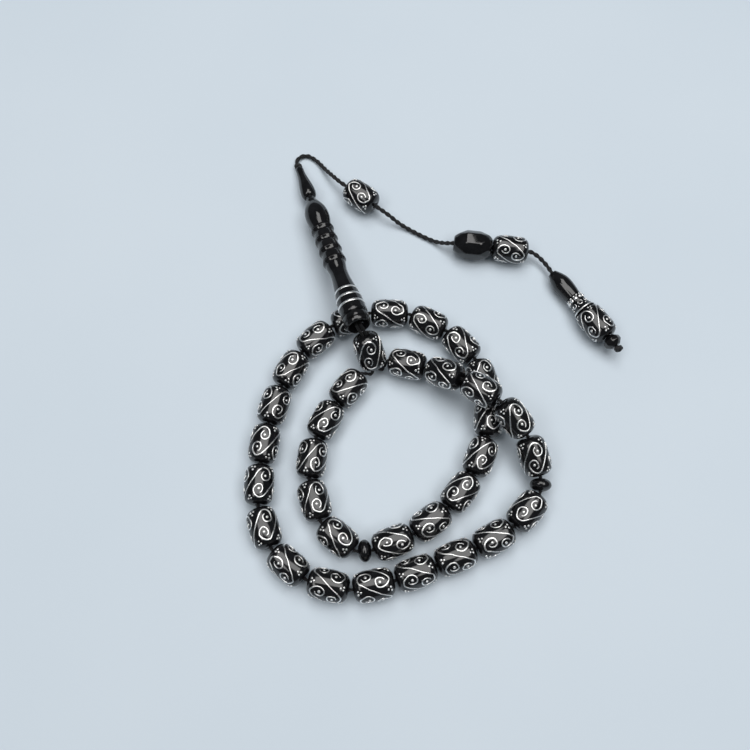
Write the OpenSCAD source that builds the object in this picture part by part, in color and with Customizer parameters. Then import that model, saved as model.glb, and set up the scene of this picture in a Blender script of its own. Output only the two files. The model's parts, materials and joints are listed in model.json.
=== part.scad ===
// Misbaha: a loop of thirty-three barrel beads on one string, laid in two
// overlapping turns, with two flat separator beads, a gather bead, a turned
// headpiece with a finial, and a thin whip cord that carries the tassel beads.
// +X is right, +Y is towards the headpiece's tip, +Z is up, z = 0 is the table.

/* [Counting beads] */
// Widest diameter of a counting bead
bead_d = 8; // [7:0.1:9.6]
// Length of a counting bead along its bore
bead_len = 10.7; // [9:0.1:12.8]
// Radius of the rounding at each end of a bead
bead_end_r = 2; // [1.4:0.1:2.4]
// Radius of the slow belly curve along a bead
belly_r = 29; // [20:1:60]
// Clearance left where two neighbouring beads come closest
touch_gap = 0.16; // [0.1:0.01:0.4]
// Spare string left between the beads of the first turn
loop_slack = 4; // [0.5:0.1:10]
// Clearance between beads that lie one over the other
cross_gap = 0.4; // [0.3:0.05:1]

/* [Separator discs] */
// Diameter of a separator disc
disc_d = 5.8; // [4.5:0.1:7]
// Thickness of a separator disc along its bore
disc_len = 3.4; // [2.4:0.1:4.5]

/* [Strings] */
// Diameter of the loop string
string_d = 1; // [0.8:0.05:1.3]
// Radial clearance between a bead's bore and what runs in it
bore_gap = 0.2; // [0.1:0.02:0.35]
// Diameter of the twisted whip cord
whip_d = 1.35; // [1:0.05:1.7]

/* [Headpiece] */
// Length of the turned headpiece, without its finial
imame_len = 50.5; // [40:0.5:62]
// Diameter of the headpiece's thick band
imame_d = 7.6; // [6.4:0.1:9.2]
// Diameter at the slim waist above the silver rings
waist_d = 5.1; // [4.2:0.1:6.2]
// Diameter of the sharp-edged collars
collar_d = 6.9; // [5.6:0.1:8.4]
// Width of each silver ring along the headpiece
ring_w = 0.7; // [0.4:0.05:1]
// How far a silver ring stands proud of the wood
ring_proud = 0.12; // [0.05:0.01:0.3]
// How deep a silver ring sits in its groove
ring_depth = 0.4; // [0.2:0.05:0.6]

/* [Finial] */
// Length of the finial at the headpiece's tip
finial_len = 13.2; // [10:0.1:16]
// Diameter of the finial's bulb
finial_d = 4.6; // [4:0.1:5.6]
// Diameter of the finial's tip
finial_tip_d = 2.5; // [2.3:0.05:3]

/* [Tassel] */
// Diameter of the faceted tassel bead
faceted_d = 8.8; // [7:0.1:10.5]
// Length of the faceted tassel bead
faceted_len = 11.4; // [9:0.1:14]
// Diameter of the long olive-shaped bead
olive_d = 5.6; // [4.6:0.1:7]
// Length of the long olive-shaped bead
olive_len = 9.8; // [8:0.1:12]
// Diameter of the granulated cap's rim
cap_d = 6.8; // [5.6:0.1:7.6]
// Length of the granulated cap
cap_len = 5.2; // [4:0.1:6.5]
// Diameter of the small end bead
end_d = 5.2; // [4:0.1:6.2]
// Thickness of the small end bead
end_len = 3.3; // [2.6:0.1:4]
// How far the free tassel bead slides each way along the whip cord
slide_travel = 2.5; // [1:0.1:4]

/* [Hidden] */
$fn = 48;
TUBE_SIDES = 8;
FACETS = 8;
UP = [0, 0, 1];

// --- small vector tools ---
function unit(v) = v / norm(v);
function mid(a, b) = (a + b) / 2;
function total(v, last = -1) = last == 0 || len(v) == 0 ? 0
    : [for (i = 0, s = 0; i < len(v); s = s + v[i], i = i + 1) s + v[i]][last < 0 ? len(v) - 1 : last - 1];
function angle_between(a, b) = acos(min(1, max(-1, unit(a) * unit(b))));
function heading(deg, slope = 0) = [cos(deg) * cos(slope), sin(deg) * cos(slope), sin(slope)];

// --- smooth curve through hand-placed points ---
STEPS = 8;
function spline_at(a, b, c, d, t) = 0.5 * (2 * b + (c - a) * t + (2 * a - 5 * b + 4 * c - d) * t * t
    + (3 * b - a - 3 * c + d) * t * t * t);
function smooth(p, steps = STEPS) = concat(
    [for (i = [0 : len(p) - 2], k = [0 : steps - 1])
        spline_at(p[max(i - 1, 0)], p[i], p[i + 1], p[min(i + 2, len(p) - 1)], k / steps)],
    [p[len(p) - 1]]);
function lengths(p) = [for (i = 0, s = 0; i < len(p);
    s = s + (i < len(p) - 1 ? norm(p[i + 1] - p[i]) : 0), i = i + 1) s];
function point_at(p, s, at) = [for (k = [0 : 2]) lookup(at, [for (i = [0 : len(p) - 1]) [s[i], p[i][k]]])];

// --- profiles: lists of [radius, place along the axis] for a turned piece ---
// Barrel with a slow belly, round shoulders and a small flat face at each end.
function shoulder_at(d, length) = sqrt(pow(belly_r - bead_end_r, 2) - pow(length / 2 - bead_end_r, 2))
    - belly_r + d / 2;
function barrel_half(d, length) =
    let (r0 = shoulder_at(d, length), z0 = length / 2 - bead_end_r, lean = asin(z0 / (belly_r - bead_end_r)))
    concat([for (k = [0 : 3]) let (a = lean * k / 4) [d / 2 - belly_r * (1 - cos(a)), belly_r * sin(a)]],
        [for (k = [0 : 5]) let (a = lean + (90 - lean) * k / 5) [r0 + bead_end_r * cos(a), z0 + bead_end_r * sin(a)]]);
function mirrored(half) = concat([for (i = [len(half) - 1 : -1 : 1]) [half[i][0], -half[i][1]]], half);
function barrel(d, length) = mirrored(barrel_half(d, length));
// Flattened disc: half an ellipse cut off by flat faces round the bore.
function oval(d, length, face_r) =
    let (a_end = acos(face_r / (d / 2)), stretch = length / 2 / sin(a_end))
    [for (k = [-8 : 8]) let (a = a_end * k / 8) [d / 2 * cos(a), stretch * sin(a)]];

// --- the loop in plan, as chosen points; each is near one bead ---
LOOP_PLAN = [[4, 17], [9, 16], [18.5, 12], [28, 6], [37, -1.5], [42, -11], [43, -19], [39, -25.5],
    [30.5, -31.5], [20.5, -36], [10, -40], [-1, -43.5], [-12, -43.5], [-22, -38.5], [-28.5, -30],
    [-30.5, -19], [-29.5, -8], [-27.5, 4], [-23, 15], [-16, 24.5], [-5, 30.5], [7, 31.5], [17.5, 27.5],
    [26, 20], [30.5, 9.5], [30.5, -2], [27, -12.5], [20.5, -22], [12, -29], [2, -33.5], [-5, -34.5],
    [-12, -30], [-16.5, -20.5], [-17, -9.5], [-13, 1], [-6.5, 10], [-4, 13]];
CROSSING = 3.25;   // how far along LOOP_PLAN, in points, the first turn lies over the second
GATHER_FOOT = [0, 15];
DISC_PLACES = [5, 29];
BEADS = 33;
DISC_FACE_R = string_d / 2 + bore_gap + 0.4;
ITEMS = BEADS + len(DISC_PLACES);
function is_disc(i) = i == DISC_PLACES[0] || i == DISC_PLACES[1];
function item_len(i) = is_disc(i) ? disc_len : bead_len;
ITEM_LENS = [for (i = [0 : ITEMS - 1]) item_len(i)];
HUMP_REACH = 2.7 * bead_len;
HUMP_TOP = bead_d + cross_gap;
function hump(s, centre) = HUMP_TOP / 2 * (1 + cos(180 * min(1, abs(s - centre) / HUMP_REACH)));
function raised(plan) =
    let (s = lengths(plan), centre = s[CROSSING * STEPS])
    [for (i = [0 : len(plan) - 1]) [plan[i].x, plan[i].y, bead_d / 2 + hump(s[i], centre)]];

// Room that one piece takes up on the inside of a bend, when it turns by a from the bend's middle
function side_room(face_r, end_r, a) = (face_r + end_r * sin(a)) * tan(a) - end_r * (1 - cos(a));
FACE_R = shoulder_at(bead_d, bead_len);
function item_room(i, a) = is_disc(i) ? side_room(DISC_FACE_R, 0, a) : side_room(FACE_R, bead_end_r, a);
DRAFT = raised(smooth(LOOP_PLAN));
DRAFT_S = lengths(DRAFT);
DRAFT_LEN = DRAFT_S[len(DRAFT_S) - 1];
MEAN_GAP = (DRAFT_LEN - total(ITEM_LENS)) / (ITEMS - 1);
function draft_at(s) = point_at(DRAFT, DRAFT_S, s);
function chord(from, to) = draft_at(to) - draft_at(from);
// Bend between item i and the next one, with the gap between them in the middle
function bend_after(i) = let (s = total(ITEM_LENS, i + 1) + (i + 0.5) * MEAN_GAP, half = MEAN_GAP / 2)
    angle_between(chord(s - half - item_len(i), s - half), chord(s + half, s + half + item_len(i + 1)));
GAPS = [for (i = [0 : ITEMS - 2]) let (a = bend_after(i) / 2) item_room(i, a) + item_room(i + 1, a) + touch_gap];

// The loop is as large as the beads strung on it need
STRUNG_LEN = total(ITEM_LENS) + total(GAPS) + loop_slack;
LOOP_SCALE = STRUNG_LEN / DRAFT_LEN;
LOOP = raised(smooth(LOOP_PLAN * LOOP_SCALE));
LOOP_S = lengths(LOOP);
SLACK_GAPS = 24;            // the spare string lies in this many gaps, from the gather bead on
SPARE = (LOOP_S[len(LOOP_S) - 1] - total(ITEM_LENS) - total(GAPS)) / SLACK_GAPS;
function item_start(i) = total(ITEM_LENS, i) + total(GAPS, i) + min(i, SLACK_GAPS) * SPARE;
ITEM_A = [for (i = [0 : ITEMS - 1]) point_at(LOOP, LOOP_S, item_start(i))];
ITEM_B = [for (i = [0 : ITEMS - 1]) point_at(LOOP, LOOP_S, item_start(i) + item_len(i))];
ITEM_MID = [for (i = [0 : ITEMS - 1]) mid(ITEM_A[i], ITEM_B[i])];
ITEM_DIR = [for (i = [0 : ITEMS - 1]) unit(ITEM_B[i] - ITEM_A[i])];

// --- the headpiece leans from the table over the bead that it crosses ---
IMAME_HEADING = 108.2;
LEAN_POINT = 7.2;           // from the headpiece's base to where it crosses that bead
TIP_LIFT = 0.25;            // between the finial's tip and the table
LEAN_Z = bead_d + cross_gap + imame_d / 2;
TIP_Z = finial_tip_d / 2 + TIP_LIFT;
HEAD_LEN = imame_len + finial_len;
SLOPE = asin((LEAN_Z - TIP_Z) / (HEAD_LEN - LEAN_POINT));
BASE_Z = LEAN_Z + LEAN_POINT * sin(SLOPE);
HEAD_DIR = heading(IMAME_HEADING, -SLOPE);

// --- the gather bead stands on edge below the headpiece's mouth ---
GATHER_HEADING = 113;
FOOT_SINK = 4.2;            // from the tops of the loop's beads down to the gather bead's foot
FOOT_Z = bead_d - FOOT_SINK;
MOUTH_DROP = 2.5;           // from the headpiece's mouth down to the gather bead's top
GATHER_TILT = asin(min(0.9, (BASE_Z - MOUTH_DROP - FOOT_Z) / bead_len));
GATHER_DIR = heading(GATHER_HEADING, GATHER_TILT);
GATHER_FOOT_END = concat(GATHER_FOOT * LOOP_SCALE, [FOOT_Z]);
GATHER_TOP = GATHER_FOOT_END + bead_len * GATHER_DIR;
MOUTH_STEP = [-1.35, 1.25, 0];
BASE = [GATHER_TOP.x, GATHER_TOP.y, BASE_Z] + MOUTH_STEP;
FINIAL_AT = BASE + imame_len * HEAD_DIR;
TIP = BASE + HEAD_LEN * HEAD_DIR;

// --- bores ---
STRAND_OFF = string_d / 2 + 0.05;
BEAD_BORE = string_d + 2 * bore_gap;
PAIR_BORE = 2 * (STRAND_OFF + string_d / 2 + bore_gap);
WHIP_BORE = whip_d + 2 * bore_gap;

// --- headpiece profile, from its base at 0 to imame_len ---
BAND_END = 0.125 * imame_len;
RING_PLACES = [0.131 * imame_len, 0.183 * imame_len, 0.236 * imame_len];
WAIST_AT = 0.385 * imame_len;
COLLARS = 4;
COLLAR_FROM = 0.467 * imame_len;
COLLAR_PITCH = 0.083 * imame_len;
COLLAR_VALLEY = 0.84;       // of the collars' radius, in the valley before each sharp edge
VALLEY_BACK = 0.9;          // from each valley to its edge
COLLAR_TAIL = 0.88;         // of the collars' radius, at the end of the slow taper to the next valley
BULB_FROM = COLLAR_FROM + (COLLARS - 1) * COLLAR_PITCH + 1.3;
BULB_GROW = 1.05;           // the bulb's radius against the collars'
function ease(t) = (1 - cos(180 * t)) / 2;
function blend_to(a, b, t) = a + (b - a) * t;
BAND_R = imame_d / 2;
WAIST_R = waist_d / 2;
COLLAR_R = collar_d / 2;
NECK_R = WHIP_BORE / 2 + 0.5;
GROOVE_DEPTH = 0.25;
function groove(z, w = 0.5) = [[BAND_R - 0.1, z - w / 2], [BAND_R - GROOVE_DEPTH - 0.1, z], [BAND_R - 0.1, z + w / 2]];
TAPER_END = COLLAR_FROM - VALLEY_BACK;
TAPER_STEPS = 12;
function taper_r(z) = z < WAIST_AT
    ? blend_to(BAND_R, WAIST_R, ease((z - BAND_END) / (WAIST_AT - BAND_END)))
    : blend_to(WAIST_R, COLLAR_R * COLLAR_VALLEY, ease((z - WAIST_AT) / (TAPER_END - WAIST_AT)));
BULB_STEPS = 12;
MOUTH_R = BAND_R - 0.5;
function collar_z(c) = COLLAR_FROM + c * COLLAR_PITCH;
function collar_edge(z) = [[COLLAR_R * COLLAR_VALLEY, z - VALLEY_BACK], [COLLAR_R, z], [COLLAR_R * 0.97, z + 0.5]];
function collar_tail(z) = [COLLAR_R * COLLAR_TAIL, z + 0.65 * COLLAR_PITCH];
BULB_R = COLLAR_R * BULB_GROW;
BULB_WIDEST = 0.36;         // how far along the bulb it is widest
function bulb_r(t) = t < BULB_WIDEST
    ? blend_to(COLLAR_R * 0.8, BULB_R, sin(90 * t / BULB_WIDEST))
    : blend_to(BULB_R, NECK_R, ease(pow((t - BULB_WIDEST) / (1 - BULB_WIDEST), 1.25)));
function bulb(t) = [bulb_r(t), blend_to(BULB_FROM, imame_len, t)];
function imame_outline() = concat(
    [[MOUTH_R - 0.2, 0], [MOUTH_R + 0.15, 0.3]], groove(1.4), groove(3.3),
    [[BAND_R - 0.1, 3.9], [BAND_R, 4.3]],
    [for (k = [0 : TAPER_STEPS - 1]) let (z = blend_to(BAND_END, TAPER_END, k / TAPER_STEPS)) [taper_r(z), z]],
    [for (c = [0 : COLLARS - 2]) each concat(collar_edge(collar_z(c)), [collar_tail(collar_z(c))])],
    collar_edge(collar_z(COLLARS - 1)),
    [for (k = [0 : BULB_STEPS]) bulb(k / BULB_STEPS)]);
MOUTH_DEPTH = 1.2;

// --- finial profile, from its round end at 0 to its tip ---
FINIAL_TIP_R = finial_tip_d / 2;
FINIAL_BODY = finial_len - 2 * touch_gap;
ROUND_LEN = 2.1;            // of the bulb's round end
function finial_outline() = concat(
    [for (k = [0 : 5]) let (a = 18 * k) [blend_to(NECK_R + 0.1, finial_d / 2, sin(a)), ROUND_LEN * (1 - cos(a))]],
    [for (k = [1 : 7]) let (t = k / 7)
        [blend_to(finial_d / 2, FINIAL_TIP_R, ease(t)), blend_to(ROUND_LEN, FINIAL_BODY - 1, t)]],
    [[FINIAL_TIP_R, FINIAL_BODY]]);

// --- knots ---
KNOT_R = 1.25;
KNOT_LEN = 2;
INNER_KNOT_AT = 9;
function knot_outline(r, length) = [for (k = [0 : 8]) let (a = -90 + 22.5 * k)
    [max(0.3, r * cos(a)), length / 2 + length / 2 * sin(a)]];

// --- the whip cord's route, in chosen stretches; each starts where the last ended ---
FLOOR_Z = whip_d / 2 + 0.03;
KNOT_END = TIP + (KNOT_LEN + 0.02) * HEAD_DIR;
FREE_HEADING = -38;
PAIR_HEADING = -7;
TAIL_HEADING = -57;
STRING_GAP = 0.15;
FREE_Z = bead_d / 2;
FREE_ROOM = bead_len + 2 * slide_travel + 0.6;
BEND_1 = [[-0.3, 1.4, 0], [0.9, 3.1, 0], [3.3, 3.4, 0], [6.2, 1.4, 0.1], [8.9, -2.2, 1], [11.6, -6, 2.7]];
FREE_FROM = [KNOT_END.x + 13.9, KNOT_END.y - 8.6, FREE_Z];
FREE_TO = FREE_FROM + FREE_ROOM * heading(FREE_HEADING);
FREE_MID = mid(FREE_FROM, FREE_TO);
BEND_2 = [[2.2, -1.6, 2.9], [5.4, -3.3, 1], [8.9, -5.1, 0.1], [12.6, -7.2, 0], [16.2, -9.2, 0.5], [19, -10.7, 2.2]];
FACETED_Z = faceted_d / 2 * cos(180 / FACETS) + 0.03;
PAIR_STEP = faceted_len / 2 + STRING_GAP + bead_len / 2;
PAIR_SLOPE = asin((bead_d / 2 + 0.02 - FACETED_Z) / PAIR_STEP);
PAIR_DIR = heading(PAIR_HEADING, PAIR_SLOPE);
PAIR_FROM = [FREE_TO.x + 21.4, FREE_TO.y - 11.4, FACETED_Z - faceted_len / 2 * sin(PAIR_SLOPE)];
FACETED_MID = PAIR_FROM + faceted_len / 2 * PAIR_DIR;
PAIR_BEAD_MID = FACETED_MID + PAIR_STEP * PAIR_DIR;
PAIR_TO = PAIR_BEAD_MID + bead_len / 2 * PAIR_DIR;
BEND_3 = [[1.6, -0.3, -0.5], [3.7, -1.6, -1.2], [5.7, -4, -1.5]];
// The bead after the cap sits a little way into the cap's mouth
CAP_MOUTH_R = cap_d / 2 - 0.2;
function round_depth(r) = bead_end_r - sqrt(pow(bead_end_r, 2) - pow(max(0, r - FACE_R), 2));
CAP_NEST = round_depth(min(CAP_MOUTH_R - STRING_GAP, FACE_R + 0.8 * bead_end_r));
OLIVE_TO_BEAD = olive_len / 2 + STRING_GAP + cap_len - CAP_NEST + bead_len / 2;
TAIL_SLOPE = asin((bead_d - olive_d) / 2 / OLIVE_TO_BEAD);
TAIL_DIR = heading(TAIL_HEADING, TAIL_SLOPE);
OLIVE_Z = olive_d / 2 + 0.03;
TAIL_FROM = [PAIR_TO.x + 7.2, PAIR_TO.y - 6.7, OLIVE_Z - olive_len / 2 * sin(TAIL_SLOPE)];
OLIVE_MID = TAIL_FROM + olive_len / 2 * TAIL_DIR;
CAP_AT = OLIVE_MID + (olive_len / 2 + STRING_GAP) * TAIL_DIR;
TAIL_BEAD_MID = OLIVE_MID + OLIVE_TO_BEAD * TAIL_DIR;
END_MID = TAIL_BEAD_MID + (bead_len / 2 + STRING_GAP + end_len / 2) * TAIL_DIR;
END_KNOT_AT = END_MID + (end_len / 2 + 0.02) * TAIL_DIR;

function offset_all(points, by) = [for (p = points) p + by];
function floor_bend(from, bend) = [for (p = bend) [from.x + p.x, from.y + p.y, FLOOR_Z + p.z]];
BEND_STEPS = 3;
WHIP_PATH = concat(
    smooth(concat([KNOT_END], floor_bend(KNOT_END, BEND_1), [FREE_FROM]), BEND_STEPS),
    smooth(concat([FREE_TO], floor_bend(FREE_TO, BEND_2), [PAIR_FROM]), BEND_STEPS),
    smooth(concat([PAIR_TO], offset_all(BEND_3, PAIR_TO), [TAIL_FROM]), BEND_STEPS),
    [END_KNOT_AT]);

// --- the loop string: out of the gather bead, round the loop, and back ---
GATHER_SIDE = unit(cross(GATHER_DIR, UP));
HEAD_SIDE = unit(cross(HEAD_DIR, UP));
STRAND_MEET = mid(GATHER_TOP, BASE);
STRAND_DROP = 1.6;           // how far the strands run on below the gather bead
STRAND_SPREAD = 0.95;        // and how far each moves outwards there
function strand_foot(side) = [
    GATHER_TOP + side * STRAND_OFF * GATHER_SIDE,
    GATHER_FOOT_END + side * STRAND_OFF * GATHER_SIDE,
    GATHER_FOOT_END + side * (STRAND_OFF + STRAND_SPREAD) * GATHER_SIDE - STRAND_DROP * GATHER_DIR];
function reversed(p) = [for (i = [len(p) - 1 : -1 : 0]) p[i]];
FIRST_STRAND = strand_foot(1);
LAST_STRAND = reversed(strand_foot(-1));
LEAD_IN = 0.4;              // straight string before the first bead and after the last
STRING_PATH = concat([STRAND_MEET + STRAND_OFF * HEAD_SIDE], FIRST_STRAND,
    [ITEM_A[0] - LEAD_IN * ITEM_DIR[0]],
    [for (i = [0 : ITEMS - 1]) each [ITEM_A[i], ITEM_B[i]]],
    [ITEM_B[ITEMS - 1] + LEAD_IN * ITEM_DIR[ITEMS - 1]],
    LAST_STRAND, [STRAND_MEET - STRAND_OFF * HEAD_SIDE]);
function inner_strand(side) = [
    STRAND_MEET + side * STRAND_OFF * HEAD_SIDE + 0.1 * HEAD_DIR,
    BASE + side * STRAND_OFF * HEAD_SIDE + 0.3 * HEAD_DIR,
    BASE + side * STRAND_OFF * HEAD_SIDE + INNER_KNOT_AT * HEAD_DIR];

// --- the frame's origin: the middle of the loop and headpiece, at table height ---
function support(outline, at, dir, u) = at * u
    + max([for (p = outline) p[1] * (dir * u) + p[0] * sqrt(max(0, 1 - pow(dir * u, 2)))]);
BEAD_OUTLINE = barrel(bead_d, bead_len);
DISC_OUTLINE = oval(disc_d, disc_len, DISC_FACE_R);
KNOT_OUTLINE = knot_outline(KNOT_R, KNOT_LEN);
function reach(u) = max(concat(
    [for (i = [0 : ITEMS - 1]) support(is_disc(i) ? DISC_OUTLINE : BEAD_OUTLINE, ITEM_MID[i], ITEM_DIR[i], u)],
    [support(KNOT_OUTLINE, TIP, HEAD_DIR, u), support(finial_outline(), FINIAL_AT, HEAD_DIR, u)]));
CENTRE = [(reach([1, 0, 0]) - reach([-1, 0, 0])) / 2, (reach([0, 1, 0]) - reach([0, -1, 0])) / 2, 0];

function two_digits(i) = str(i < 10 ? "0" : "", i);
function items_before(bead) = bead <= DISC_PLACES[0] ? 0 : bead <= DISC_PLACES[1] - 1 ? 1 : 2;
BEAD_NAMES = [for (i = [1 : BEADS]) str("bead_", two_digits(i))];

// --- building blocks ---
// Stands children, drawn along +Z, at a place along a direction
module along(at, dir) {
    translate(at - CENTRE)
        rotate([0, acos(dir.z), atan2(dir.y, dir.x)])
            children();
}

module turned(outline, bore) {
    first = outline[0];
    last = outline[len(outline) - 1];
    rotate_extrude()
        polygon(concat([[bore / 2, first[1]]], outline, [[bore / 2, last[1]]]));
}

// Tube of TUBE_SIDES sides swept along a path, with mitred rings
module tube(path, d) {
    n = len(path);
    dirs = [for (i = [0 : n - 1])
        unit((i < n - 1 ? unit(path[i + 1] - path[i]) : [0, 0, 0]) + (i > 0 ? unit(path[i] - path[i - 1]) : [0, 0, 0]))];
    points = [for (i = [0 : n - 1]) let (side = unit(cross(UP, dirs[i])), top = cross(dirs[i], side))
        for (k = [0 : TUBE_SIDES - 1]) let (a = 360 * (k + 0.5) / TUBE_SIDES)
            path[i] + d / 2 * (cos(a) * side + sin(a) * top) - CENTRE];
    walls = [for (i = [0 : n - 2], k = [0 : TUBE_SIDES - 1]) let (next = (k + 1) % TUBE_SIDES)
        [i * TUBE_SIDES + k, (i + 1) * TUBE_SIDES + k, (i + 1) * TUBE_SIDES + next, i * TUBE_SIDES + next]];
    start_cap = [[for (k = [0 : TUBE_SIDES - 1]) k]];
    end_cap = [[for (k = [TUBE_SIDES - 1 : -1 : 0]) (n - 1) * TUBE_SIDES + k]];
    polyhedron(concat(points), concat(walls, start_cap, end_cap));
}

// Flat-sided bead that lies on one facet, wide in the middle and narrow at both ends
module cut_stone(d, length, end_share, belt_share, bore) {
    slice = 0.02;
    difference() {
        rotate([0, 0, 180 / FACETS])
            hull()
                for (side = [-1, 1]) {
                    translate([0, 0, side * (length / 2 - slice / 2) - slice / 2])
                        cylinder(d = d * end_share, h = slice, $fn = FACETS);
                    translate([0, 0, side * length * belt_share / 2 - slice / 2])
                        cylinder(d = d, h = slice, $fn = FACETS);
                }
        cylinder(d = bore, h = length + 2, center = true);
    }
}

// --- sub-parts ---
module counting_bead(number) {
    i = number - 1 + items_before(number);
    color([0.06, 0.06, 0.07])
        along(ITEM_MID[i], ITEM_DIR[i])
            turned(BEAD_OUTLINE, BEAD_BORE);
}

module separator_disc(number) {
    i = DISC_PLACES[number - 1];
    color([0.08, 0.08, 0.08])
        along(ITEM_MID[i], ITEM_DIR[i])
            turned(DISC_OUTLINE, BEAD_BORE);
}

module gather_bead() {
    color([0.06, 0.06, 0.07])
        along(mid(GATHER_FOOT_END, GATHER_TOP), GATHER_DIR)
            turned(BEAD_OUTLINE, PAIR_BORE);
}

module loop_string() {
    color([0.05, 0.05, 0.05])
        tube(STRING_PATH, string_d);
}

module ring_bands(grow) {
    for (z = RING_PLACES)
        translate([0, 0, z - ring_w / 2])
            difference() {
                cylinder(r = taper_r(z) + grow, h = ring_w);
                translate([0, 0, -1])
                    cylinder(r = taper_r(z) - ring_depth, h = ring_w + 2);
            }
}

module imame_body() {
    color([0.05, 0.05, 0.05])
        along(BASE, HEAD_DIR)
            difference() {
                turned(imame_outline(), PAIR_BORE);
                ring_bands(1);
                translate([0, 0, -0.01])
                    cylinder(r1 = MOUTH_R - 0.6, r2 = PAIR_BORE / 2, h = MOUTH_DEPTH);
            }
}

module imame_rings() {
    color("silver")
        along(BASE, HEAD_DIR)
            ring_bands(ring_proud);
}

// The two strands run in from the base, and one cord runs on to the tip
module imame_cord() {
    color([0.05, 0.05, 0.05]) {
        tube(inner_strand(1), string_d);
        tube(inner_strand(-1), string_d);
        tube([BASE + (INNER_KNOT_AT + KNOT_LEN) * HEAD_DIR, TIP], whip_d);
    }
}

module inner_knot() {
    color([0.05, 0.05, 0.05])
        along(BASE + INNER_KNOT_AT * HEAD_DIR, HEAD_DIR)
            turned(knot_outline(PAIR_BORE / 2 - 0.1, KNOT_LEN), 0);
}

module imame_finial() {
    color([0.05, 0.05, 0.05])
        along(FINIAL_AT + touch_gap * HEAD_DIR, HEAD_DIR)
            turned(finial_outline(), WHIP_BORE);
}

module tip_knot() {
    color([0.05, 0.05, 0.05])
        along(TIP, HEAD_DIR)
            turned(KNOT_OUTLINE, 0);
}

module whip_cord() {
    color([0.05, 0.05, 0.05])
        tube(WHIP_PATH, whip_d);
}

module tassel_bead(at, dir) {
    color([0.06, 0.06, 0.07])
        along(at, dir)
            turned(BEAD_OUTLINE, WHIP_BORE);
}

module faceted_bead() {
    color([0.04, 0.04, 0.04])
        along(FACETED_MID, PAIR_DIR)
            cut_stone(faceted_d, faceted_len, 0.62, 0.35, WHIP_BORE);
}

module olive_bead() {
    start_r = WHIP_BORE / 2 + 0.45;
    end_r = 0.41 * olive_d;
    steps = 8;
    outline = concat(
        [for (k = [0 : steps]) let (t = k / steps) [blend_to(start_r, olive_d / 2, sin(90 * t)), olive_len * (t - 1) / 2]],
        [for (k = [1 : steps]) let (t = k / steps) [blend_to(end_r, olive_d / 2, cos(90 * t)), olive_len * t / 2]]);
    color([0.04, 0.04, 0.04])
        along(OLIVE_MID, TAIL_DIR)
            turned(outline, WHIP_BORE);
}

// Cap that flares to a rim, with a shallow mouth in which the next bead sits
module tassel_cap() {
    neck_r = 0.35 * cap_d;
    rim_w = 0.5;
    color([0.06, 0.06, 0.07])
        along(CAP_AT, TAIL_DIR)
            difference() {
                turned([[neck_r - 0.15, 0], [neck_r, 0.3], [neck_r, 0.42 * cap_len], [0.38 * cap_d, 0.62 * cap_len],
                    [0.43 * cap_d, 0.8 * cap_len], [0.485 * cap_d, cap_len - rim_w], [cap_d / 2, cap_len - rim_w],
                    [cap_d / 2, cap_len]], WHIP_BORE);
                translate([0, 0, cap_len - CAP_NEST - STRING_GAP])
                    cylinder(r1 = CAP_MOUTH_R - 0.35, r2 = CAP_MOUTH_R + 0.01, h = CAP_NEST + STRING_GAP + 0.01);
            }
}

module end_bead() {
    color([0.04, 0.04, 0.04])
        along(END_MID, TAIL_DIR)
            cut_stone(end_d, end_len, 0.6, 0.3, WHIP_BORE);
}

module end_knot() {
    color([0.05, 0.05, 0.05])
        along(END_KNOT_AT, TAIL_DIR)
            turned(KNOT_OUTLINE, 0);
}

for (i = [1 : BEADS])
    counting_bead(i);
separator_disc(1);  // disc_1
separator_disc(2);  // disc_2
gather_bead();
loop_string();
imame_body();
imame_rings();
imame_cord();
inner_knot();
imame_finial();
tip_knot();
whip_cord();
tassel_bead(FREE_MID, heading(FREE_HEADING));  // tassel_bead_1
faceted_bead();
tassel_bead(PAIR_BEAD_MID, PAIR_DIR);  // tassel_bead_2
olive_bead();
tassel_cap();
tassel_bead(TAIL_BEAD_MID, TAIL_DIR);  // tassel_bead_3
end_bead();
end_knot();
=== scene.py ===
import json
import math
import bmesh
import bpy
import numpy as np
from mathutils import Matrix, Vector


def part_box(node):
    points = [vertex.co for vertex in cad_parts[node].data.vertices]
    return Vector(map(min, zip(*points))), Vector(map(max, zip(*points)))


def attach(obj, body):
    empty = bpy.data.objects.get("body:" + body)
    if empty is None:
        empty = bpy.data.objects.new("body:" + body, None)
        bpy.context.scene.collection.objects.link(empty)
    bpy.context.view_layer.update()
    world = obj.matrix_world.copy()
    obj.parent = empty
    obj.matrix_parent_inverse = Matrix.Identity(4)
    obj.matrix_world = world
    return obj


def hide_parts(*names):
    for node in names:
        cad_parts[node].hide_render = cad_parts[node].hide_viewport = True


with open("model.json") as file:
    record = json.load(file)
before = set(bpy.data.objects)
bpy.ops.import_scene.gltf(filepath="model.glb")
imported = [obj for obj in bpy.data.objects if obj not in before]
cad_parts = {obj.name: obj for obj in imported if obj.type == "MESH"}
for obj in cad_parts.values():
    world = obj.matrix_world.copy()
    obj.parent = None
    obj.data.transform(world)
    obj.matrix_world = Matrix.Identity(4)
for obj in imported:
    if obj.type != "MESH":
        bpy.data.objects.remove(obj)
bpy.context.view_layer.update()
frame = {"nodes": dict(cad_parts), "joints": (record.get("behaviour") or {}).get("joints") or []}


def add_object(name, data):
    ob = bpy.data.objects.new(name, data)
    bpy.context.scene.collection.objects.link(ob)
    return ob


# ---------------------------------------------------------------- camera
cam_data = bpy.data.cameras.new("camera")
cam_data.sensor_width = 36
cam_data.lens = 36.48
cam_data.clip_start = 0.01
cam = add_object("camera", cam_data)
cam.location = (-0.00616, -0.07837, 0.2048)
TILT = math.radians(70)
cam.rotation_euler = Vector((0, math.cos(TILT), -math.sin(TILT))).to_track_quat("-Z", "Y").to_euler()
bpy.context.scene.camera = cam

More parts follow.
